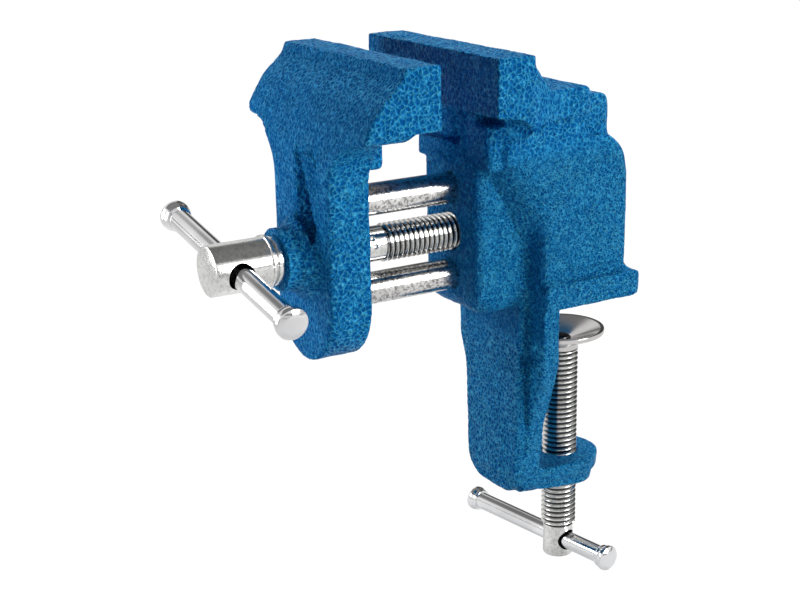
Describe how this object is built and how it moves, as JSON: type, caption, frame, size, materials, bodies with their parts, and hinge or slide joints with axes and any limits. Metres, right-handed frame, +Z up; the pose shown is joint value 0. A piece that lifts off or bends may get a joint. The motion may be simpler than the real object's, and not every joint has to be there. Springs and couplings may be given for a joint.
{
  "type": "clamp-on bench vise",
  "caption": "Small bench vise that clamps to a table edge: screw-driven moving jaw on two guide rods, anvil flat, and a clamp screw with a round pad below.",
  "frame": {"origin": "where the clamp screw's axis meets the bench seat, the flat underside of the ledge", "axes": "+Z up, out of the bench seat towards the jaws; +X from the moving jaw to the fixed jaw; +Y across the jaws"},
  "size_m": [0.1416, 0.0853, 0.1822],
  "materials": {
    "blue_paint": "hammered blue enamel",
    "rod_steel": "bright plate over a slightly pitted rod",
    "screw_plate": "bright plate",
    "ring_steel": "plain spring steel",
    "bar_chrome": "polished plate",
    "pad_steel": "polished plate"
  },
  "bodies": {
    "base": {"fixed_body": "blue_paint"},
    "jaw": {"moving_jaw": "blue_paint", "upper_guide_rod": "rod_steel", "lower_guide_rod": "rod_steel"},
    "spindle": {"main_screw": "screw_plate", "thrust_washer": "screw_plate", "retaining_ring": "ring_steel"},
    "spindle_bar": {"main_bar": "bar_chrome", "main_bar_near_knob": "bar_chrome", "main_bar_far_knob": "bar_chrome"},
    "pad": {"clamp_pad": "pad_steel"},
    "clamp_spindle": {"clamp_screw": "screw_plate"},
    "clamp_spindle_bar": {"clamp_bar": "bar_chrome", "clamp_bar_near_knob": "bar_chrome", "clamp_bar_far_knob": "bar_chrome"}
  },
  "joints": [
    {"name": "main_screw_spin", "type": "hinge", "parent": "jaw", "child": "spindle", "pos_m": [-0.1045, 0, 0.0239], "axis": [1, 0, 0], "range_deg": [-6397.7, 3867.4]},
    {"name": "jaw_slide", "type": "slide", "parent": "base", "child": "jaw", "axis": [1, 0, 0], "range_m": [-0.031, 0.0187]},
    {"name": "main_bar_slide", "type": "slide", "parent": "spindle", "child": "spindle_bar", "axis": [0, 0.986, 0.1668], "range_m": [-0.0317, 0.0271]},
    {"name": "clamp_screw_spin", "type": "hinge", "parent": "pad", "child": "clamp_spindle", "pos_m": [0, 0, -0.05], "axis": [0, 0, 1], "range_deg": [-7529.1, 3250.3]},
    {"name": "clamp_slide", "type": "slide", "parent": "base", "child": "pad", "axis": [0, 0, 1], "range_m": [-0.0365, 0.0157]},
    {"name": "clamp_bar_slide", "type": "slide", "parent": "clamp_spindle", "child": "clamp_spindle_bar", "axis": [-0.1633, 0.9866, 0], "range_m": [-0.034, 0.0146]}
  ],
  "couplings": [
    {"joint": "main_screw_spin", "follows": "jaw_slide", "rad_per_m": 3590.4},
    {"joint": "clamp_screw_spin", "follows": "clamp_slide", "rad_per_m": 3590.4}
  ]
}
